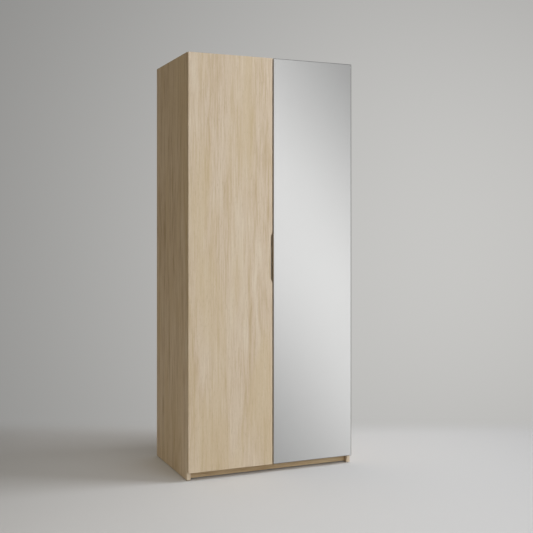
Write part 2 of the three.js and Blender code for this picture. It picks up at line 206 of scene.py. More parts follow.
# A piece of the wardrobe: shape, finish, the body it rides on and the nodes that it stands for.
def addPiece(name, shape, material, body, nodes=(), cuts=None, smooth=40):
    made = meshObject(name, shape)
    if cuts is not None:
        cutOut(made, cuts)
    made.data.materials.clear()
    made.data.materials.append(material)
    made.data.shade_smooth()
    made.data.set_sharp_from_angle(angle=math.radians(smooth))
    weighted = made.modifiers.new("flat faces stay flat", "WEIGHTED_NORMAL")
    weighted.keep_sharp = True
    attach(made, body)
    if nodes:
        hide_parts(*nodes)
    return made


# An sRGB hex colour as the linear colour that a node wants.
def linear(hexColour):
    parts = [int(hexColour[i:i + 2], 16) / 255 for i in (1, 3, 5)]
    return tuple(p / 12.92 if p <= 0.04045 else ((p + 0.055) / 1.055) ** 2.4 for p in parts) + (1.0,)


# Adds one node: settings are its own properties, and links say what each input gets, which is a value,
# another node's output, or a node, which stands for its first output.
def addNode(tree, kind, settings=None, links=None):
    node = tree.nodes.new("ShaderNode" + kind)
    for key, value in (settings or {}).items():
        setattr(node, key, value)
    for key, value in (links or {}).items():
        if isinstance(value, bpy.types.Node):
            value = value.outputs[0]
        if isinstance(value, bpy.types.NodeSocket):
            tree.links.new(value, node.inputs[key])
        else:
            node.inputs[key].default_value = value
    return node


# An empty material, its node tree, and the place on the object that its patterns read.
def newMaterial(name):
    material = bpy.data.materials.new(name)
    material.use_nodes = True
    tree = material.node_tree
    tree.nodes.clear()
    return material, tree, addNode(tree, "TexCoord").outputs["Object"]


# Stops of a colour ramp: (place, colour) pairs.
def rampOf(tree, factor, stops):
    ramp = addNode(tree, "ValToRGB", links={"Fac": factor})
    while len(ramp.color_ramp.elements) < len(stops):
        ramp.color_ramp.elements.new(0.5)
    for element, (place, colour) in zip(ramp.color_ramp.elements, stops):
        element.position = place
        element.color = colour
    return ramp.outputs["Color"]


# A grey as a node's colour.
def grey(value):
    return (value, value, value, 1.0)


# The print's colours, and the width and length in mm of each kind of mark in it.
oakLook = {
    "pale": "#d3c5b0", "rose": "#c9b7a0", "honey": "#c3af8c", "dark": "#ae9877", "pore": "#8d7757",
    "streakWidth": 7, "streakLength": 150,      # mm, and so for the other sizes
    "bandWidth": 34, "bandLength": 520,
    "cloudWidth": 160, "cloudLength": 900,
    "poreWidth": 1.8, "poreLength": 24,         # a real pore is 0.3 mm wide: drawn wider, so that it shows
    "roughness": 0.52,
}
# The door's print is quieter than the sides'. The plinth's is warmer and darker: painted shade, standing in for the
# shade under the overhanging doors.
doorTone = {"dark": "#b7a283"}
sideTone = {"dark": "#9c8562"}
plinthShadeTone = {"pale": "#c9b592", "rose": "#bda481", "honey": "#b79d72", "dark": "#9f855f"}


# Oak-grain melamine laminate on particle board, pressed with a fine synchronous texture: the eye gets
# long pale and honey streaks, broad soft bands, short darker pores and a dull sheen.
def oakLaminate(name, grain, shift, change=None):
    look = {**oakLook, **(change or {})}
    material, tree, place = newMaterial(name)
    turn = {"z": (0, 0, 0), "x": (0, math.pi / 2, 0)}[grain]
    board = addNode(tree, "Mapping", {"vector_type": "POINT"},
                    {"Vector": place, "Location": shift, "Rotation": turn}).outputs["Vector"]

    # Noise whose grains are so many millimetres wide and long, along the board.
    def stretched(kind, detail=2.0, distortion=0.0, roughness=0.5):
        width, length = look[kind + "Width"] * mm, look[kind + "Length"] * mm
        scaled = addNode(tree, "VectorMath", {"operation": "MULTIPLY"},
                         {0: board, 1: (1 / width, 1 / width, 1 / length)})
        return addNode(tree, "TexNoise", None,
                       {"Vector": scaled, "Scale": 1.0, "Detail": detail, "Roughness": roughness,
                        "Distortion": distortion})

    clouds = stretched("cloud", 2.0, 0.4)
    bands = stretched("band", 2.0, 0.5)
    streaks = stretched("streak", 3.0, 0.15, 0.6)
    pores = stretched("pore", 1.0)
    blend = addNode(tree, "Math", {"operation": "MULTIPLY"}, {0: streaks, 1: 0.55})
    blend = addNode(tree, "Math", {"operation": "MULTIPLY_ADD"}, {0: bands, 1: 0.45, 2: blend})
    toned = rampOf(tree, blend, [(0.34, linear(look["dark"])), (0.50, linear(look["rose"])),
                                 (0.66, linear(look["pale"]))])
    yellow = addNode(tree, "MapRange", {"interpolation_type": "SMOOTHSTEP"},
                     {"Value": clouds, "From Min": 0.42, "From Max": 0.66, "To Min": 0.1, "To Max": 0.58})
    colour = addNode(tree, "Mix", {"data_type": "RGBA"},
                     {"Factor": yellow, 6: toned, 7: linear(look["honey"])}).outputs[2]
    poreMask = rampOf(tree, pores, [(0.60, grey(0)), (0.74, grey(1))])
    poreShare = addNode(tree, "Math", {"operation": "MULTIPLY"}, {0: poreMask, 1: 0.27})
    finish = addNode(tree, "Mix", {"data_type": "RGBA"},
                     {"Factor": poreShare, 6: colour, 7: linear(look["pore"])}).outputs[2]
    rough = addNode(tree, "MapRange", None,
                    {"Value": streaks, "From Min": 0.3, "From Max": 0.7, "To Min": look["roughness"] + 0.06,
                     "To Max": look["roughness"] - 0.05})
    relief = addNode(tree, "Math", {"operation": "MULTIPLY_ADD"}, {0: poreMask, 1: -0.6, 2: streaks})
    bump = addNode(tree, "Bump", None,
                   {"Height": relief, "Strength": 0.25, "Distance": 0.00025}).outputs["Normal"]
    surface = addNode(tree, "BsdfPrincipled", None,
                      {"Base Color": finish, "Roughness": rough, "Normal": bump, "IOR": 1.5,
                       "Specular IOR Level": 0.35})
    addNode(tree, "OutputMaterial", None, {"Surface": surface})
    return material


hardboardLook = {"raw": "#b08f66", "fleck": "#937350", "fleckSize": 2.2}


# High-density fibreboard: a printed pale face to the inside, raw brown pressed fibre to the outside.
def hardboard(sheetMiddle):
    look = hardboardLook
    material, tree, place = newMaterial("printedHardboard")
    fleck = addNode(tree, "TexNoise", None,
                    {"Vector": place, "Scale": 1 / (look["fleckSize"] * mm), "Detail": 4.0})
    cloud = addNode(tree, "TexNoise", None, {"Vector": place, "Scale": 6.0, "Detail": 3.0})
    grainPlace = addNode(tree, "VectorMath", {"operation": "MULTIPLY"},
                         {0: place, 1: (110, 110, 2.4)})
    grain = addNode(tree, "TexNoise", None,
                    {"Vector": grainPlace, "Scale": 1.0, "Detail": 3.0})
    raw = rampOf(tree, fleck, [(0.32, linear(look["fleck"])), (0.62, linear(look["raw"]))])
    dust = addNode(tree, "Mix", {"data_type": "RGBA", "blend_type": "SOFT_LIGHT"},
                   {"Factor": 0.5, 6: raw, 7: cloud}).outputs[2]
    printed = rampOf(tree, grain, [(0.3, linear("#b3a080")), (0.7, linear("#cbbba0"))])
    depth = addNode(tree, "SeparateXYZ", None, {"Vector": place}).outputs["Y"]
    outside = addNode(tree, "Math", {"operation": "GREATER_THAN"}, {0: depth, 1: sheetMiddle})
    colour = addNode(tree, "Mix", {"data_type": "RGBA"},
                     {"Factor": outside, 6: printed, 7: dust}).outputs[2]
    bump = addNode(tree, "Bump", None,
                   {"Height": fleck, "Strength": 0.3, "Distance": 0.0002}).outputs["Normal"]
    rough = addNode(tree, "MapRange", None,
                    {"Value": fleck, "To Min": 0.62, "To Max": 0.82})
    surface = addNode(tree, "BsdfPrincipled", None,
                      {"Base Color": colour, "Roughness": rough, "Normal": bump, "Specular IOR Level": 0.3})
    addNode(tree, "OutputMaterial", None, {"Surface": surface})
    return material


# One finish for plated metal: bright, with faint rolling marks and finger-worn patches in its roughness.
def platedMetal(name, tint, roughness, markSize, markDepth):
    material, tree, place = newMaterial(name)
    marks = addNode(tree, "TexNoise", None,
                    {"Vector": place, "Scale": 1 / (markSize * mm), "Detail": 3.0})
    worn = addNode(tree, "TexNoise", None, {"Vector": place, "Scale": 45.0, "Detail": 2.0})
    rough = addNode(tree, "MapRange", None,
                    {"Value": worn, "From Min": 0.3, "From Max": 0.7, "To Min": roughness * 0.75,
                     "To Max": roughness * 1.35})
    colour = rampOf(tree, worn, [(0.3, linear(tint[0])), (0.7, linear(tint[1]))])
    bump = addNode(tree, "Bump", None,
                   {"Height": marks, "Strength": 0.2, "Distance": markDepth * mm}).outputs["Normal"]
    surface = addNode(tree, "BsdfPrincipled", None,
                      {"Base Color": colour, "Metallic": 1.0, "Roughness": rough, "Normal": bump})
    addNode(tree, "OutputMaterial", None, {"Surface": surface})
    return material


# Moulded plastic: a fine spark-eroded grain and slightly uneven gloss.
def mouldedPlastic(name, tint, roughness, grainSize):
    material, tree, place = newMaterial(name)
    grain = addNode(tree, "TexNoise", None,
                    {"Vector": place, "Scale": 1 / (grainSize * mm), "Detail": 2.0})
    patch = addNode(tree, "TexNoise", None, {"Vector": place, "Scale": 30.0, "Detail": 2.0})
    colour = rampOf(tree, patch, [(0.3, linear(tint[0])), (0.7, linear(tint[1]))])
    rough = addNode(tree, "MapRange", None,
                    {"Value": grain, "To Min": roughness - 0.08, "To Max": roughness + 0.08})
    bump = addNode(tree, "Bump", None,
                   {"Height": grain, "Strength": 0.25, "Distance": 0.00008}).outputs["Normal"]
    surface = addNode(tree, "BsdfPrincipled", None,
                      {"Base Color": colour, "Roughness": rough, "Normal": bump, "IOR": 1.53})
    addNode(tree, "OutputMaterial", None, {"Surface": surface})
    return material


# Silver on the back of the mirror: all reflection, faintly uneven as float glass is.
def silvering():
    material, tree, place = newMaterial("mirrorSilver")
    wave = addNode(tree, "TexNoise", None, {"Vector": place, "Scale": 2.2, "Detail": 0.0})
    colour = rampOf(tree, wave, [(0.3, linear("#f3f3f2")), (0.7, linear("#f5f5f4"))])
    surface = addNode(tree, "BsdfPrincipled", None,
                      {"Base Color": colour, "Metallic": 1.0, "Roughness": 0.0})
    addNode(tree, "OutputMaterial", None, {"Surface": surface})
    return material


# Clear 4 mm float glass: its faces are polished, its narrow edges ground to a dark grey-green satin.
def floatGlass(low, high):
    material, tree, place = newMaterial("floatGlass")
    parts = addNode(tree, "SeparateXYZ", None, {"Vector": place}).outputs
    smear = addNode(tree, "TexNoise", None, {"Vector": place, "Scale": 12.0, "Detail": 2.0})
    rough = addNode(tree, "MapRange", None,
                    {"Value": smear, "From Min": 0.4, "From Max": 0.8, "To Min": 0.0, "To Max": 0.012})
    clear = addNode(tree, "BsdfPrincipled", None,
                    {"Base Color": linear("#ffffff"), "Roughness": rough, "IOR": 1.52,
                     "Transmission Weight": 1.0})
    grit = addNode(tree, "TexNoise", None, {"Vector": place, "Scale": 1500.0, "Detail": 2.0})
    groundTone = rampOf(tree, grit, [(0.3, linear("#45443a")), (0.7, linear("#545246"))])
    ground = addNode(tree, "BsdfPrincipled", None,
                     {"Base Color": groundTone, "Roughness": 0.6, "IOR": 1.52})

    # One where the place lies within a hair of the sheet's rim along one axis.
    def atRim(name, axis):
        middle, half = float(low[axis] + high[axis]) / 2, float(high[axis] - low[axis]) / 2
        off = addNode(tree, "Math", {"operation": "SUBTRACT"}, {0: parts[name], 1: middle})
        off = addNode(tree, "Math", {"operation": "ABSOLUTE"}, {0: off})
        return addNode(tree, "Math", {"operation": "GREATER_THAN"}, {0: off, 1: half - 0.05 * mm})

    rim = addNode(tree, "Math", {"operation": "MAXIMUM"}, {0: atRim("X", 0), 1: atRim("Z", 2)})
    glass = addNode(tree, "MixShader", None, {"Fac": rim, 1: clear, 2: ground})
    addNode(tree, "OutputMaterial", None, {"Surface": glass})
    return material


nickel = platedMetal("nickelPlatedSteel", ("#b9bbbd", "#c9cbcc"), 0.27, 1.4, 0.02)
chrome = platedMetal("chromePlatedSteel", ("#cfd2d4", "#dfe1e2"), 0.13, 2.0, 0.01)
zinc = platedMetal("zincPlatedSteel", ("#a7abb0", "#bcc0c3"), 0.36, 1.0, 0.03)
blackPlastic = mouldedPlastic("blackPolypropylene", ("#262523", "#302f2c"), 0.5, 0.5)
whitePlastic = mouldedPlastic("whitePolystyrene", ("#d3d2cb", "#dddcd6"), 0.42, 0.5)
silver = silvering()
print("materials made")


boardLook = {"ease": 0.5 * mm, "corner": 0.6 * mm}

leftLow, leftHigh = corners("side_panel_left")
topLow, topHigh = corners("top_panel")
pinLow, pinHigh = corners("shelf_pin_left_front")
pinBackLow, pinBackHigh = corners("shelf_pin_left_back")
backLow, backHigh = corners("back_panel_left")
innerHalf = -leftHigh[0]
grooveFront = backLow[1] - 0.2 * mm
groove = {"front": grooveFront, "back": grooveFront + 3.6 * mm, "depth": 8 * mm}
pinHole = {"radius": 2.7 * mm, "depth": 10 * mm, "rows": 5, "pitch": 32 * mm}


# A side panel's plan: a rectangle with the groove that holds the back.
def sidePlan(hand):
    outer = abs(leftLow[0])
    plan = np.array([[innerHalf, leftLow[1]], [outer, leftLow[1]], [outer, leftHigh[1]],
                     [innerHalf, leftHigh[1]], [innerHalf, groove["back"]],
                     [innerHalf + groove["depth"], groove["back"]],
                     [innerHalf + groove["depth"], groove["front"]], [innerHalf, groove["front"]]])
    return plan * np.array([hand, 1])


# Two rows of blind holes for the shelf pins.
def pinBores(hand):
    rows = (np.arange(pinHole["rows"]) - (pinHole["rows"] - 1) / 2) * pinHole["pitch"]
    middle = (pinLow[2] + pinHigh[2]) / 2
    places = [(pinLow[1] + pinHigh[1]) / 2, (pinBackLow[1] + pinBackHigh[1]) / 2]
    ends = np.sort(hand * np.array([innerHalf - 1 * mm, innerHalf + pinHole["depth"]]))
    profile = [(0, ends[0]), (pinHole["radius"], ends[0]), (pinHole["radius"], ends[1]), (0, ends[1])]
    return together(*[turned(profile, y, middle + row, "x", 20) for y in places for row in rows])


for side, hand in sides:
    low, high = corners(f"side_panel_{side}")
    plan = softened(sidePlan(hand), boardLook["corner"])
    shape = carried(plan, low[2], high[2], "z", boardLook["ease"])
    oak = oakLaminate(f"oakLaminateSide{side.capitalize()}", "z", (0.37 * hand, 0.2, 0.4 * hand), sideTone)
    addPiece(f"sidePanel{side.capitalize()}", shape, oak, "carcass", [f"side_panel_{side}"],
             pinBores(hand))

topPlan = [[topLow[1], topLow[2]], [groove["front"], topLow[2]], [groove["front"], topLow[2] + groove["depth"]],
           [groove["back"], topLow[2] + groove["depth"]], [groove["back"], topLow[2]], [topHigh[1], topLow[2]],
           [topHigh[1], topHigh[2]], [topLow[1], topHigh[2]]]
addPiece("topPanel", carried(softened(topPlan, boardLook["corner"]), topLow[0], topHigh[0], "x"),
         oakLaminate("oakLaminateTop", "x", (0.1, 0.9, 0.3)), "carcass", ["top_panel"])

# The other crosswise boards: each is a rectangle with eased edges, carried along X.
crosswise = {"bottom_panel": ("bottomPanel", (0.7, 0.2, 1.3)), "plinth_front": ("plinthFront", (1.9, 0.6, 0.1)),
             "plinth_rear": ("plinthRear", (2.3, 0.1, 0.8)), "hat_shelf": ("hatShelf", (3.1, 0.5, 0.2))}
for node, (name, shift) in crosswise.items():
    low, high = corners(node)
    section = softened(rectangle(low[1], high[1], low[2], high[2]), boardLook["corner"])
    # The front plinth takes the warmer, darker print: painted shade under the doors.
    tone = plinthShadeTone if node == "plinth_front" else None
    oak = oakLaminate(f"oakLaminate{name[0].upper()}{name[1:]}", "x", shift, tone)
    addPiece(name, carried(section, low[0], high[0], "x"), oak, "carcass", [node])
print("boards made")


backMiddle = (backLow[1] + backHigh[1]) / 2
backing = hardboard(backMiddle)
for side, hand in sides:
    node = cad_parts[f"back_panel_{side}"]
    node.data.materials.clear()
    node.data.materials.append(backing)

stripLow, stripHigh = corners("back_joining_strip")
strip = {"lip": 1.4 * mm, "web": 0.8 * mm}


# The strip's H section: two flanges and a web between them.
def stripSection():
    half = stripHigh[0]
    y0, y1 = stripLow[1], stripHigh[1]
    lip, web = strip["lip"], strip["web"]
    return [[-half, y0], [half, y0], [half, y0 + lip], [web, y0 + lip], [web, y1 - lip], [half, y1 - lip],
            [half, y1], [-half, y1], [-half, y1 - lip], [-web, y1 - lip], [-web, y0 + lip], [-half, y0 + lip]]


addPiece("backJoiningStrip", carried(softened(stripSection(), 0.5 * mm, 3), stripLow[2], stripHigh[2], "z"),
         whitePlastic, "carcass", ["back_joining_strip"])
print("back made")


doorLook = {"ease": 0.5 * mm, "corner": 0.6 * mm}
grip = {"depth": 12 * mm, "length": 250 * mm, "slope": 22 * mm, "height": 1088 * mm, "rounding": 7 * mm,
        "backLip": 5 * mm}
cup = {"radius": 17.75 * mm, "depth": 12.75 * mm, "edge": 4.5 * mm}
oakLow, oakHigh = corners("door_oak")
carrierLow, carrierHigh = corners("door_mirror_carrier")
glassLow, glassHigh = corners("mirror_glass")
hingeHeights = [float(sum(corners(f"hinge_cup_left_{n}"))[2] / 2) for n in (1, 2, 3, 4)]
cupCentre = innerHalf - cup["edge"]


# The grip edge: the door's right side steps in along two slopes; only these four corners are rounded widely.
def gripDoorOutline(steps=8):
    edge, deep = oakHigh[0], oakHigh[0] - grip["depth"]
    half, straight = grip["length"] / 2, grip["length"] / 2 - grip["slope"]
    middle = grip["height"]
    whole = np.array([[oakLow[2], oakLow[0]], [oakLow[2], edge], [middle - half, edge],
                      [middle - straight, deep], [middle + straight, deep], [middle + half, edge],
                      [oakHigh[2], edge], [oakHigh[2], oakLow[0]]])
    wide = softened(whole, grip["rounding"], steps).reshape(-1, steps + 1, 2)
    tight = softened(whole, doorLook["corner"], steps).reshape(-1, steps + 1, 2)
    onGrip = np.array([False, False, True, True, True, True, False, False])
    return np.where(onGrip[:, None, None], wide, tight).reshape(-1, 2)


# The grip door: eased rings of the outline run back to the lip, where the line steps out to the plain edge
# and runs on, so the step is the flat floor of the routed grip.
def gripDoorShape(steps=3):
    frontLine = gripDoorOutline()
    edge = oakHigh[0]
    beside = abs(frontLine[:, 0] - grip["height"]) <= grip["length"] / 2 + grip["rounding"]
    routed = beside & (frontLine[:, 1] > edge - grip["depth"] - 0.1 * mm)
    backLine = np.column_stack([frontLine[:, 0], np.where(routed, edge, frontLine[:, 1])])
    t = np.linspace(0, math.pi / 2, steps + 1)
    inward, short = doorLook["ease"] * (1 - np.cos(t)), doorLook["ease"] * (1 - np.sin(t))
    lip = oakHigh[1] - grip["backLip"]
    lines = [(drawnIn(frontLine, a), oakLow[1] + b) for a, b in zip(inward[::-1], short[::-1])]
    lines += [(frontLine, lip), (backLine, lip)]
    lines += [(drawnIn(backLine, a), oakHigh[1] - b) for a, b in zip(inward, short)]
    rings = [np.column_stack([line, np.full(len(line), level)]) for line, level in lines]
    return axisOrder(np.concatenate(rings), "y"), ringFaces(len(rings), len(frontLine))


# The hinge cups' blind bores: a turned cylinder at each hinge height, open at the door's back.
def cupBores(x, back):
    profile = [(0, back - cup["depth"]), (cup["radius"], back - cup["depth"]), (cup["radius"], back + 5 * mm),
               (0, back + 5 * mm)]
    return together(*[turned(profile, z, x, "y", 64) for z in hingeHeights])


addPiece("doorOak", gripDoorShape(),
         oakLaminate("oakLaminateDoor", "z", (0.05, 0.4, 0.15), doorTone), "left_door",
         ["door_oak"], cupBores(-cupCentre, oakHigh[1]))

carrierOutline = softened(rectangle(carrierLow[2], carrierHigh[2], carrierLow[0], carrierHigh[0]),
                          doorLook["corner"])
addPiece("doorMirrorCarrier", carried(carrierOutline, carrierLow[1], carrierHigh[1], "y", doorLook["ease"]),
         oakLaminate("oakLaminateMirrorDoor", "z", (1.3, 0.8, 0.6)), "right_door",
         ["door_mirror_carrier"], cupBores(cupCentre, carrierHigh[1]))

mirrorLook = {"silverThickness": 0.12 * mm, "silverInset": 0.6 * mm, "bevel": 1.6 * mm}
glassOutline = softened(rectangle(glassLow[2], glassHigh[2], glassLow[0], glassHigh[0]), 1.8 * mm)
silverY = glassHigh[1] - mirrorLook["silverThickness"]
inset = mirrorLook["silverInset"]
silverOutline = rectangle(glassLow[2] + inset, glassHigh[2] - inset, glassLow[0] + inset, glassHigh[0] - inset)
addPiece("mirrorSilver", carried(silverOutline, silverY, glassHigh[1], "y"), silver, "right_door")
addPiece("mirrorGlass", carried(glassOutline, glassLow[1], silverY - 0.01 * mm, "y", mirrorLook["bevel"], 1),
         floatGlass(glassLow, glassHigh), "right_door", ["mirror_glass"])
print("doors made")


# A rounded-ended outline, upright: two half circles joined by straight sides.
def oval(a, b, thick, tall, steps=16):
    turn = np.linspace(0, math.pi, steps + 1)
    radius, straight = thick / 2, (tall - thick) / 2
    top = np.column_stack([a + radius * np.cos(turn), b + straight + radius * np.sin(turn)])
    bottom = np.column_stack([a - radius * np.cos(turn), b - straight - radius * np.sin(turn)])
    return np.concatenate([top, bottom])


# The wall between two outlines with equal counts, carried along an axis: outer skin out, inner skin back.
def hollow(outer, inner, low, high, axis):
    lines = [(outer, low), (outer, high), (inner, high), (inner, low), (outer, low)]
    rings = [np.column_stack([line, np.full(len(line), level)]) for line, level in lines]
    return axisOrder(np.concatenate(rings), axis), ringFaces(len(rings), len(outer), False)


screwLook = {"radius": 3.4, "height": 1.3, "recess": 1.9, "recessDepth": 0.9, "around": 32}


# A pan-head screw seen end on. Rings climb over the head, then fall into a cross recess whose radius at
# angle t is r * (0.3 + 0.7 * max(|cos t|, |sin t|) ^ 10).
def screwHead(a, b, base, axis, outward, scale=1.0):
    look = screwLook
    angle = np.linspace(0, 2 * math.pi, look["around"], endpoint=False)
    cross = 0.3 + 0.7 * np.maximum(abs(np.cos(angle)), abs(np.sin(angle))) ** 10
    r, h = look["radius"] * scale, look["height"] * scale
    recess, depth = look["recess"] * scale, look["recessDepth"] * scale
    rows = [(0, 0, 0), (r, 0, 0), (r, 0.25 * h, 0), (0.92 * r, 0.65 * h, 0), (0.72 * r, h, 0), (recess, h, 1),
            (0.7 * recess, h - depth, 1), (0, h - depth, 0)]
    radius = np.array([R * (cross if crossed else np.ones_like(cross)) for R, _, crossed in rows]) * mm
    height = np.array([level for _, level, _ in rows])[:, None] * mm
    points = np.stack([a + radius * np.cos(angle), b + radius * np.sin(angle),
                       base + outward * np.repeat(height, len(angle), 1)], -1).reshape(-1, 3)
    return axisOrder(points, axis), ringFaces(len(rows), len(angle))


hingeLook = {
    "cupRadius": 17.5, "cupDepth": 12.5, "cupWall": 1.0, "tabHalf": 11, "tabReach": 26,
    "tabSheet": 1.1, "tabScrew": 22.3,
    "armOuter": (22, -10.92), "armInner": (25, -3.5), "cupOuter": (-7.28, 4.82), "cupInner": (-7.6, 10.5),
    "outerRoute": [(14.5, -0.5), (8, 5.4), (0, 7.2)], "innerRoute": [(15.4, 2.4), (9.5, 8), (2, 11)],
    "linkHalf": 1.5, "linkNear": 0.4, "linkFar": 7, "eye": 2.4, "pin": 1.25, "cheekNear": 7.6, "cheekFar": 9.2,
    "plate": 2.5, "plateSpan": (-68, -27), "plateHalf": 10, "wingSpan": (-50, -38), "wingHalf": 26,
    "block": 16, "blockHalf": 6.5, "blockSpan": (-65, -29), "topSpan": (-60, -33),
    "channel": 20, "channelSheet": 1.6, "channelSpan": (-64, -24),
}


# A hinge's plan is drawn in millimetres (u, v): u runs inwards from the side panel, v forwards from its edge.
def planned(hand, points):
    points = np.asarray(points, float) * mm
    return np.column_stack([hand * (innerHalf - points[:, 0]), leftLow[1] - points[:, 1]])


# A block of a hinge: a rounded rectangle of the plan, carried as far down as up from the hinge's middle.
def hingeSlab(hand, z, u, v, half, ease=0.35, corner=0.8):
    outline = softened(planned(hand, rectangle(u[0], u[1], v[0], v[1])), corner * mm)
    return carried(outline, z - half * mm, z + half * mm, "z", ease * mm)


# The arm: a cross plate screwed to the side panel, a block, and a pressed channel whose cheeks hold the pins.
def hingeArmShape(hand, z):
    look = hingeLook
    sunk = 0.5      # mm that one part of the arm runs into the next
    plateFace = hand * (innerHalf - look["plate"] * mm)
    y0, y1 = sorted(leftLow[1] - np.array(look["plateSpan"]) * mm)
    w0, w1 = sorted(leftLow[1] - np.array(look["wingSpan"]) * mm)
    half, wing = look["plateHalf"] * mm, look["wingHalf"] * mm
    crossPlan = [[y0, z - half], [w0, z - half], [w0, z - wing], [w1, z - wing], [w1, z - half], [y1, z - half],
                 [y1, z + half], [w1, z + half], [w1, z + wing], [w0, z + wing], [w0, z + half], [y0, z + half]]
    x0, x1 = sorted([plateFace, hand * innerHalf])
    parts = [carried(softened(crossPlan, 2.6 * mm, 6), x0, x1, "x", 0.5 * mm)]
    parts.append(hingeSlab(hand, z, (look["plate"] - sunk, look["block"]), look["blockSpan"],
                           look["blockHalf"], 0.8, 1.5))
    parts.append(hingeSlab(hand, z, (look["block"] - sunk, look["channel"] - sunk), look["topSpan"],
                           look["blockHalf"]))
    parts.append(hingeSlab(hand, z, (look["channel"] - look["channelSheet"], look["channel"]),
                           look["channelSpan"], look["cheekFar"], 0.6, 0.7))
    for (u, v), up in ((look["armOuter"], 1), (look["armInner"], -1)):
        top = look["channel"]
        cheek = [(top - 8, look["channelSpan"][0]), (top - 0.4, look["channelSpan"][0]),
                 (top - 0.4, look["channelSpan"][1]), (u + 2.8, v - 1), (u + 1.6, v + 2.2), (u - 1.6, v + 2.2),
                 (u - 3.2, v - 2), (top - 8, look["channelSpan"][1] - 4)]
        z0, z1 = sorted([z + up * look["cheekNear"] * mm, z + up * look["cheekFar"] * mm])
        parts.append(carried(softened(planned(hand, cheek), 1.2 * mm, 3), z0, z1, "z", 0.3 * mm))
        px, py = planned(hand, [(u, v)])[0]
        ends = np.sort(z + up * np.array([look["linkNear"], look["cheekFar"] + 0.5]) * mm)
        pin = look["pin"] * mm
        parts.append(turned([(0, ends[0]), (pin * 0.8, ends[0]), (pin, ends[0] + 0.2 * mm),
                             (pin, ends[1] - 0.3 * mm), (pin * 0.7, ends[1]), (0, ends[1])], px, py, "z", 24))
    for step in (-20.5, 20.5):
        parts.append(screwHead((w0 + w1) / 2, z + step * mm, plateFace, "x", -hand, 0.95))
    topFace = hand * (innerHalf - look["channel"] * mm)
    for v, size in ((-33.5, 0.95), (-52.0, 1.15)):
        parts.append(screwHead(leftLow[1] - v * mm, z, topFace, "x", -hand, size))
    return together(*parts)


# The cup, turned from a rounded profile, with two ears whose inner edge follows the cup's rim.
def hingeCupShape(hand, z):
    look = hingeLook
    back = oakHigh[1]
    x = hand * cupCentre
    r, depth, wall = look["cupRadius"] * mm, look["cupDepth"] * mm, look["cupWall"] * mm
    soft = 0.8 * mm
    profile = [(0, back - depth), (r - 2 * soft, back - depth), (r - 0.6 * soft, back - depth + 0.6 * soft),
               (r, back - depth + 2 * soft), (r, back + 0.2 * mm), (r - 0.2 * mm, back + 0.4 * mm),
               (r - 0.8 * wall, back + 0.4 * mm), (r - wall, back + 0.2 * mm),
               (r - wall, back - depth + 3 * soft),
               (r - wall - 0.6 * soft, back - depth + wall + 0.6 * soft),
               (r - wall - 2 * soft, back - depth + wall),
               (0, back - depth + wall)]
    parts = [turned(profile, z, x, "y", 64)]
    rim = (look["cupRadius"] - 0.5) * mm
    half, reach = look["tabHalf"] * mm, look["tabReach"] * mm
    opening = math.asin(half / rim)
    for up in (-1, 1):
        angle = np.linspace(-opening, opening, 13)
        edge = np.column_stack([rim * np.cos(angle), rim * np.sin(angle)])
        turn = np.linspace(0, math.pi / 2, 7)
        corner = 5.5 * mm
        far = np.column_stack([reach - corner + corner * np.sin(turn), half - corner + corner * np.cos(turn)])
        near = np.column_stack([far[::-1, 0], -far[::-1, 1]])
        ear = np.concatenate([edge, far, near])
        ear = np.column_stack([z + up * ear[:, 0], x + ear[:, 1]])
        parts.append(carried(ear, back + 0.1 * mm, back + look["tabSheet"] * mm, "y", 0.3 * mm, 2))
        parts.append(screwHead(z + up * look["tabScrew"] * mm, x, back + look["tabSheet"] * mm, "y", 1, 0.95))
    for (u, v), up in ((look["cupOuter"], 1), (look["cupInner"], -1)):
        px, py = planned(hand, [(u, v)])[0]
        aside = abs(px - x) + look["pin"] * mm
        reachUp = math.sqrt((r - wall / 2) ** 2 - aside ** 2)
        ends = np.sort(z + up * np.array([look["linkNear"] * mm, reachUp]))
        pin = look["pin"] * mm
        parts.append(turned([(0, ends[0]), (pin, ends[0]), (pin, ends[1]), (0, ends[1])], px, py, "z", 24))
    return together(*parts)


# A smooth line through the given points: on each span the cubic whose slopes are the neighbours' mean steps.
def smoothLine(points, steps=8):
    points = np.asarray(points, float)
    whole = np.concatenate([2 * points[:1] - points[1:2], points, 2 * points[-1:] - points[-2:-1]])
    a, b, c, d = whole[:-3], whole[1:-2], whole[2:-1], whole[3:]
    t = np.linspace(0, 1, steps, endpoint=False)[None, :, None]
    a, b, c, d = (part[:, None] for part in (a, b, c, d))
    line = 0.5 * (2 * b + (c - a) * t + (2 * a - 5 * b + 4 * c - d) * t ** 2 + (3 * b - a - 3 * c + d) * t ** 3)
    return np.concatenate([line.reshape(-1, 2), points[-1:]])


# A link: a bowed steel strap, which is a smooth line widened to both sides, with a rolled eye at each end.
def hingeLinkShape(hand, z, ends, route, levels):
    look = hingeLook
    line = smoothLine([ends[0]] + route + [ends[1]])
    step = np.gradient(line, axis=0)
    step = step / np.linalg.norm(step, axis=1)[:, None]
    side = np.column_stack([-step[:, 1], step[:, 0]]) * look["linkHalf"]
    strap = planned(hand, np.concatenate([line + side, (line - side)[::-1]]))
    low, high = z + levels[0] * mm, z + levels[1] * mm
    parts = [carried(strap, low, high, "z", 0.35 * mm, 2)]
    for end in ends:
        px, py = planned(hand, [end])[0]
        eye, soft = look["eye"] * mm, 0.35 * mm
        parts.append(turned([(0, low), (eye - soft, low), (eye, low + soft), (eye, high - soft),
                             (eye - soft, high), (0, high)], px, py, "z", 32))
    return together(*parts)


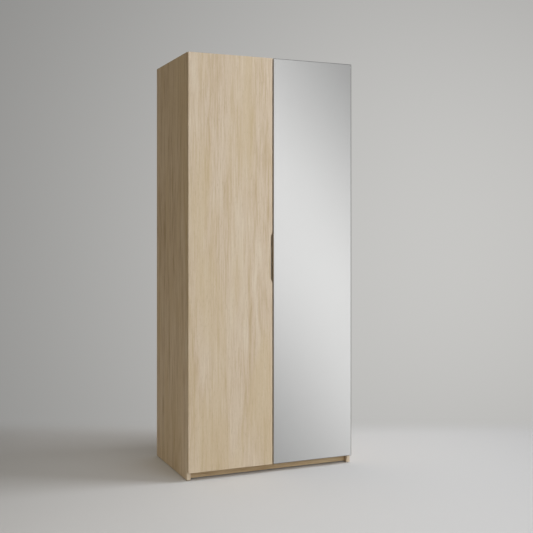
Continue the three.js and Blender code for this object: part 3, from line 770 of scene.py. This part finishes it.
for side, hand in sides:
    for number, z in enumerate(hingeHeights, 1):
        label, tag = f"{side}_{number}", f"{side.capitalize()}{number}"
        look = hingeLook
        addPiece(f"hingeArm{tag}", hingeArmShape(hand, z), nickel, "carcass",
                 [f"hinge_arm_{label}"])
        addPiece(f"hingeCup{tag}", hingeCupShape(hand, z), nickel, f"{side}_door",
                 [f"hinge_cup_{label}"])
        outer = hingeLinkShape(hand, z, (look["armOuter"], look["cupOuter"]), look["outerRoute"],
                               (look["linkNear"], look["linkFar"]))
        addPiece(f"hingeOuterLink{tag}", outer, nickel, f"{side}_outer_links",
                 [f"hinge_outer_link_{label}"])
        inner = hingeLinkShape(hand, z, (look["armInner"], look["cupInner"]), look["innerRoute"],
                               (-look["linkFar"], -look["linkNear"]))
        addPiece(f"hingeInnerLink{tag}", inner, nickel, f"{side}_inner_links",
                 [f"hinge_inner_link_{label}"])
print("hinges made")


railLook = {"thick": 15, "tall": 30, "wall": 1.2, "play": 0.4, "cupWall": 2.0, "cupLength": 14,
            "flange": (34, 62), "flangeSheet": 2, "cupAbove": 9, "rimFall": 0.6, "rimSlope": 0.5,
            "screwStep": 23.5}

railLow, railHigh = corners("clothes_rail")
railY, railZ = (railLow[1] + railHigh[1]) / 2, (railLow[2] + railHigh[2]) / 2
thick, tall, wallOf = railLook["thick"] * mm, railLook["tall"] * mm, railLook["wall"] * mm
addPiece("clothesRail", hollow(oval(railY, railZ, thick, tall), oval(railY, railZ, thick - 2 * wallOf,
         tall - 2 * wallOf), railLow[0], railHigh[0], "x"), chrome, "carcass", ["clothes_rail"])

# A rail bracket: an oval flange with two screws, and a U-shaped cup that the rail drops into.
for side, hand in sides:
    flange = oval(railY, railZ, railLook["flange"][0] * mm, railLook["flange"][1] * mm)
    flangeFace = hand * (innerHalf - railLook["flangeSheet"] * mm)
    x0, x1 = sorted([flangeFace, hand * innerHalf])
    inner = thick / 2 + railLook["play"] * mm
    outer = inner + railLook["cupWall"] * mm
    foot = railZ - (tall - thick) / 2
    top = railZ + railLook["cupAbove"] * mm
    fall, slope = railLook["rimFall"] * mm, railLook["rimSlope"] * mm
    turn = np.linspace(math.pi, 2 * math.pi, 21)
    bowl = np.column_stack([railY + outer * np.cos(turn), foot + outer * np.sin(turn)])
    hollowed = np.column_stack([railY + inner * np.cos(turn[::-1]), foot + inner * np.sin(turn[::-1])])
    rim = np.array([[outer, top - fall], [outer - slope, top], [inner + slope, top], [inner, top - fall]])
    rightRim, leftRim = rim + [railY, 0], rim[::-1] * [-1, 1] + [railY, 0]
    cupLine = np.concatenate([bowl, rightRim, hollowed, leftRim])
    c0, c1 = sorted([hand * (innerHalf - railLook["cupLength"] * mm), hand * (innerHalf - 1 * mm)])
    screws = [screwHead(railY, railZ + up * railLook["screwStep"] * mm, flangeFace, "x", -hand)
              for up in (-1, 1)]
    shape = together(carried(flange, x0, x1, "x", 0.7 * mm),
                     carried(cupLine, c0, c1, "x", 0.4 * mm, 2), *screws)
    addPiece(f"railBracket{side.capitalize()}", shape, chrome, "carcass", [f"rail_bracket_{side}"])

# Shelf pins: a shank with a rounded nose and a collar that is flat on top, where the shelf lies.
pinLook = {"radius": 2.5, "tip": 1.8, "nose": 0.7, "reach": 9,
           "collar": 4, "collarFlat": 2.45, "collarWidth": 1.2}
for side, hand in sides:
    for end in ("front", "back"):
        low, high = corners(f"shelf_pin_{side}_{end}")
        y, z = (low[1] + high[1]) / 2, low[2] + pinLook["collar"] * mm
        reach, nose = pinLook["reach"] * mm, hand * pinLook["nose"] * mm
        near, far = hand * (innerHalf - reach), hand * (innerHalf + reach)
        radius, tip = pinLook["radius"] * mm, pinLook["tip"] * mm
        shank = turned([(0, near), (tip, near), (radius, near + nose), (radius, far - nose), (tip, far),
                        (0, far)], y, z, "x", 32)
        turn = np.linspace(0, 2 * math.pi, 40, endpoint=False)
        rise = np.minimum(pinLook["collar"] * np.sin(turn), pinLook["collarFlat"]) * mm
        collarLine = np.column_stack([y + pinLook["collar"] * mm * np.cos(turn), z + rise])
        c0, c1 = sorted([hand * (innerHalf - pinLook["collarWidth"] * mm), hand * innerHalf])
        shape = together(shank, carried(collarLine, c0, c1, "x"))
        addPiece(f"shelfPin{side.capitalize()}{end.capitalize()}", shape, nickel, "carcass",
                 [f"shelf_pin_{side}_{end}"])

# Wall brackets: bent steel angles, one leg on the back and one under the top, with a screw in each leg.
angleLook = {"sheet": 2.5, "bend": 1.2, "hole": 2.8, "holeDrop": 4, "screwStep": 9, "screwBack": 14, "past": 5}
for side, hand in sides:
    low, high = corners(f"wall_bracket_{side}")
    sheet, x = angleLook["sheet"] * mm, (low[0] + high[0]) / 2
    section = softened([[high[1], high[2]], [low[1], high[2]], [low[1], high[2] - sheet],
                        [high[1] - sheet, high[2] - sheet], [high[1] - sheet, low[2]], [high[1], low[2]]],
                       angleLook["bend"] * mm, 5)
    hole, past = angleLook["hole"] * mm, angleLook["past"] * mm
    bore = turned([(0, low[1] - past), (hole, low[1] - past), (hole, high[1] + past), (0, high[1] + past)],
                  (low[2] + high[2]) / 2 - angleLook["holeDrop"] * mm, x, "y", 32)
    addPiece(f"wallBracket{side.capitalize()}", carried(section, low[0], high[0], "x", 0.8 * mm), zinc,
             "carcass", [f"wall_bracket_{side}"], bore)
    under = high[2] - sheet
    across, back = angleLook["screwStep"] * mm, low[1] + angleLook["screwBack"] * mm
    heads = together(*[screwHead(x + way * across, back, under, "z", -1) for way in (-1, 1)])
    addPiece(f"wallBracketScrews{side.capitalize()}", heads, zinc, "carcass")

# Glides: low domed discs pressed under the side panels.
glideProfile = [(1.6, 0), (0.5, 0.5), (0, 1.5)]
for side, hand in sides:
    for end in ("front", "back"):
        low, high = corners(f"glide_{side}_{end}")
        x, y, radius = (low[0] + high[0]) / 2, (low[1] + high[1]) / 2, (high[1] - low[1]) / 2
        profile = [(0, 0), *[(radius - inset * mm, up * mm) for inset, up in glideProfile], (radius, high[2]),
                   (0, high[2])]
        addPiece(f"glide{side.capitalize()}{end.capitalize()}", turned(profile, x, y, "z", 40), blackPlastic,
                 "carcass", [f"glide_{side}_{end}"])

# The centre foot: a flared base, a threaded stem whose radius swings 0.4 mm both ways every 2.4 mm, and a top plate.
stemHeight = np.linspace(9, 30, 71)
stemRadius = 8.6 + 0.4 * np.cos(stemHeight / 2.4 * 2 * math.pi)
footProfile = np.concatenate([[(0, 0), (19.8, 0), (21, 1.0), (21, 3.5), (17, 6), (9.2, 8)],
                              np.column_stack([stemRadius, stemHeight]),
                              [(12, 31.5), (20, 33), (23.6, 37), (24, 38), (24, 45), (0, 45)]]) * mm
addPiece("centreFoot", turned(footProfile, 0.0, 0.0, "z", 48), blackPlastic, "carcass",
         ["centre_foot"])
print("rail, pins, brackets and feet made")


forward = np.array([math.sin(math.radians(cameraView["yaw"])), math.cos(math.radians(cameraView["yaw"])), 0])
toRight = np.array([forward[1], -forward[0], 0])
upwards = np.array([0, 0, 1.0])
stageLook = {"reach": 14.0, "pale": "#d1d0ce", "dull": "#cdccca", "speck": 900.0,
             "farTone": 0.7, "farSquared": 3.0}

# A floor: one flat square. A pool of light is part of its tone, which falls with the squared distance
# sideways from one fixed line across it.
half = stageLook["reach"]
floorPoints = np.array([[-half, -half, 0], [half, -half, 0], [half, half, 0], [-half, half, 0]], float)
floor = meshObject("floor", (floorPoints, [[0, 1, 2, 3]]))
floorMaterial, tree, place = newMaterial("studioFloor")
speck = addNode(tree, "TexNoise", None, {"Vector": place, "Scale": stageLook["speck"], "Detail": 2.0})
speckled = rampOf(tree, speck, [(0.3, linear(stageLook["dull"])), (0.7, linear(stageLook["pale"]))])
away = addNode(tree, "VectorMath", {"operation": "DOT_PRODUCT"},
               {0: place, 1: tuple(toRight)}).outputs["Value"]
away = addNode(tree, "Math", {"operation": "SUBTRACT"},
               {0: away, 1: float(np.array(cameraView["place"]) @ toRight)})
away = addNode(tree, "Math", {"operation": "MULTIPLY"}, {0: away, 1: away})
pool = addNode(tree, "MapRange", {"interpolation_type": "LINEAR"},
               {"Value": away, "From Min": 0.0, "From Max": stageLook["farSquared"], "To Min": 1.0,
                "To Max": stageLook["farTone"]})
floorColour = addNode(tree, "VectorMath", {"operation": "SCALE"}, {0: speckled, "Scale": pool})
floorSurface = addNode(tree, "BsdfPrincipled", None,
                       {"Base Color": floorColour, "Roughness": 0.8, "Specular IOR Level": 0.15})
addNode(tree, "OutputMaterial", None, {"Surface": floorSurface})
floor.data.materials.append(floorMaterial)
floor.visible_glossy = False
floor.visible_transmission = False


backdropLook = {
    "depth": 5.34, "half": 5.0, "height": 5.0, "footFade": 0.10, "tint": "#fffefb",
    "dim": 0.2, "bright": 0.57, "poolAcross": 1.1, "poolUp": 1.1, "poolSpread": 2.6,
}


# The backdrop: a flat upright grid. Its tone is one soft round pool of light, u metres across and v metres up.
def backdropTone(u, v):
    look = backdropLook
    away = ((u - look["poolAcross"]) ** 2 + (v - look["poolUp"]) ** 2) / look["poolSpread"] ** 2
    return look["dim"] + (look["bright"] - look["dim"]) * np.exp(-away)


u, v = np.meshgrid(np.linspace(-backdropLook["half"], backdropLook["half"], 161),
                   np.linspace(0, backdropLook["height"], 81))
wallFoot = np.array(cameraView["place"]) * np.array([1, 1, 0]) + forward * backdropLook["depth"]
wallPoints = wallFoot + u.reshape(-1, 1) * toRight + v.reshape(-1, 1) * upwards
index = np.arange(u.size).reshape(u.shape)
wallFaces = np.stack([index[:-1, :-1], index[:-1, 1:], index[1:, 1:], index[1:, :-1]], -1).reshape(-1, 4)
wallMesh = bpy.data.meshes.new("backdrop")
wallMesh.from_pydata(wallPoints, [], wallFaces.tolist())
wallMesh.attributes.new("tone", "FLOAT", "POINT").data.foreach_set("value", backdropTone(u, v).ravel())
wall = bpy.data.objects.new("backdrop", wallMesh)
scene.collection.objects.link(wall)
wallMaterial, tree, place = newMaterial("gradedBackdrop")
tone = addNode(tree, "Attribute", {"attribute_name": "tone"}).outputs["Fac"]
glow = addNode(tree, "Emission", None,
               {"Color": linear(backdropLook["tint"]), "Strength": tone})
clear = addNode(tree, "BsdfTransparent")
heightAt = addNode(tree, "SeparateXYZ", None, {"Vector": place}).outputs["Z"]
facing = addNode(tree, "NewGeometry").outputs["Backfacing"]
foot = addNode(tree, "MapRange", {"interpolation_type": "SMOOTHSTEP"},
               {"Value": heightAt, "From Min": 0.0, "From Max": backdropLook["footFade"], "To Min": 1.0,
                "To Max": 0.0})
seeThrough = addNode(tree, "Math", {"operation": "MAXIMUM"}, {0: facing, 1: foot})
wallSurface = addNode(tree, "MixShader", None, {"Fac": seeThrough, 1: glow, 2: clear})
addNode(tree, "OutputMaterial", None, {"Surface": wallSurface})
wall.data.materials.append(wallMaterial)
for ray in ("visible_diffuse", "visible_glossy", "visible_transmission", "visible_shadow"):
    setattr(wall, ray, False)


# A soft rectangular lamp aimed at a point.
def softLamp(name, place, aim, width, height, power, tint="#ffffff", shines=False):
    data = bpy.data.lights.new(name, "AREA")
    data.shape = "RECTANGLE"
    data.size, data.size_y = width, height
    data.energy = power
    data.color = linear(tint)[:3]
    lamp = bpy.data.objects.new(name, data)
    direction = np.array(aim, float) - np.array(place, float)
    flat = math.hypot(direction[0], direction[1])
    lamp.location = place
    lamp.rotation_euler = (math.pi / 2 - math.atan2(-direction[2], flat), 0,
                           math.atan2(-direction[0], direction[1]))
    scene.collection.objects.link(lamp)
    lamp.visible_glossy = shines
    lamp.visible_transmission = False
    lamp.visible_camera = False
    return lamp


softLamp("keyLamp", (4.6, -1.9, 4.0), (0.0, 0.0, 1.0), 2.8, 2.8, 285, "#f4f8ff", True)
softLamp("bounceBoard", (-3.0, -1.6, 1.0), (-0.45, 0.0, 1.0), 1.5, 2.0, 6.2, "#fff2cb")
softLamp("frontLamp", (1.9, -6.0, 2.4), (0.0, 0.0, 1.0), 5.0, 2.6, 160, "#f4f8ff")

skyLook = {
    "level": 0.15, "rise": 0.37, "ground": 0.42, "left": "#ffe0a4", "base": 0.22, "peak": 0.79, "spread": 0.92,
    "bandTilt": (-4.561, -1.935, -3.905), "bandShift": 0.117, "bandAhead": (0.3905, -0.9206, 0.0),
}
world = bpy.data.worlds.new("studio")
scene.world = world
world.use_nodes = True
tree = world.node_tree
tree.nodes.clear()
ray = addNode(tree, "TexCoord").outputs["Generated"]
height = addNode(tree, "SeparateXYZ", None, {"Vector": ray}).outputs
overhead = addNode(tree, "MapRange", None,
                   {"Value": height["Z"], "To Min": skyLook["level"],
                    "To Max": skyLook["level"] + skyLook["rise"]})
# Below the horizon it is as pale as the floor, so that metal and mirror don't reflect a dark pit.
ground = addNode(tree, "MapRange", {"interpolation_type": "SMOOTHSTEP"},
                 {"Value": height["Z"], "From Min": 0.0, "From Max": -0.25, "To Min": 0.0,
                  "To Max": skyLook["ground"]})
overhead = addNode(tree, "Math", {"operation": "MAXIMUM"}, {0: overhead, 1: ground})
leftward = addNode(tree, "MapRange", {"interpolation_type": "SMOOTHSTEP"},
                   {"Value": height["X"], "From Min": -0.2, "From Max": -0.9})
warm = addNode(tree, "Mix", {"data_type": "RGBA"},
               {"Factor": leftward, 6: grey(1.0), 7: linear(skyLook["left"])}).outputs[2]
# A soft bright band lies across the front right, where the mirror looks. It fades as a bell curve both ways.
tilt = addNode(tree, "VectorMath", {"operation": "DOT_PRODUCT"},
               {0: ray, 1: skyLook["bandTilt"]}).outputs["Value"]
tilt = addNode(tree, "Math", {"operation": "ADD"}, {0: tilt, 1: skyLook["bandShift"]})
bell = addNode(tree, "Math", {"operation": "MULTIPLY"}, {0: tilt, 1: tilt})
bell = addNode(tree, "Math", {"operation": "MULTIPLY"}, {0: bell, 1: -1 / skyLook["spread"]})
bell = addNode(tree, "Math", {"operation": "EXPONENT"}, {0: bell})
band = addNode(tree, "MapRange", None,
               {"Value": bell, "To Min": skyLook["base"], "To Max": skyLook["peak"]})
ahead = addNode(tree, "VectorMath", {"operation": "DOT_PRODUCT"},
                {0: ray, 1: skyLook["bandAhead"]}).outputs["Value"]
mask = addNode(tree, "MapRange", {"interpolation_type": "SMOOTHSTEP"},
               {"Value": ahead, "From Min": 0.45, "From Max": 0.92})
level = addNode(tree, "Mix", {"data_type": "FLOAT"}, {"Factor": mask, 2: overhead, 3: band})
skyNode = addNode(tree, "Background", None, {"Color": warm, "Strength": level})
addNode(tree, "OutputWorld", None, {"Surface": skyNode})
print("stage and light made")
